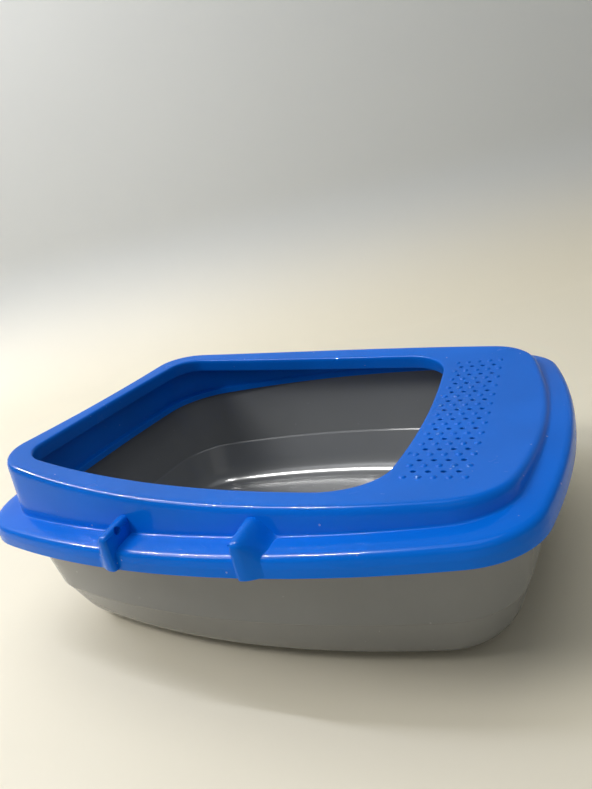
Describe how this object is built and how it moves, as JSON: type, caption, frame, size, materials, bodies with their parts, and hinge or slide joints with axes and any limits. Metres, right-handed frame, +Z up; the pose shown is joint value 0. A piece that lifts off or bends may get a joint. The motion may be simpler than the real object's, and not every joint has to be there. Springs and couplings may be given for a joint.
{
  "type": "cat litter box with rim hood",
  "caption": "Open cat litter pan with a lift-off rim hood: sloping top, wide opening with a turned-down lip, perforated step-over shelf and latch lugs.",
  "frame": {"origin": "middle of the base, on the ground plane under the feet", "axes": "+X along the length towards the perforated entry end, +Y across the width, +Z up"},
  "size_m": [0.48, 0.3968, 0.1709],
  "materials": {
    "pan_plastic": "moulded polypropylene, semi-gloss warm grey",
    "hood_plastic": "moulded polypropylene, glossy blue",
    "foot_plastic": "soft translucent plastic"
  },
  "bodies": {
    "pan_body": {"pan": "pan_plastic", "foot_front_entry": "foot_plastic", "foot_back_entry": "foot_plastic", "foot_front_rear": "foot_plastic", "foot_back_rear": "foot_plastic"},
    "hood_body": {"rim_hood": "hood_plastic", "lug_front_entry": "hood_plastic", "lug_back_entry": "hood_plastic", "lug_front_rear": "hood_plastic", "lug_back_rear": "hood_plastic"}
  },
  "joints": [
    {"name": "hood_lift", "type": "slide", "parent": "pan_body", "child": "hood_body", "axis": [0, 0, 1], "range_m": [0, 0.15]}
  ]
}
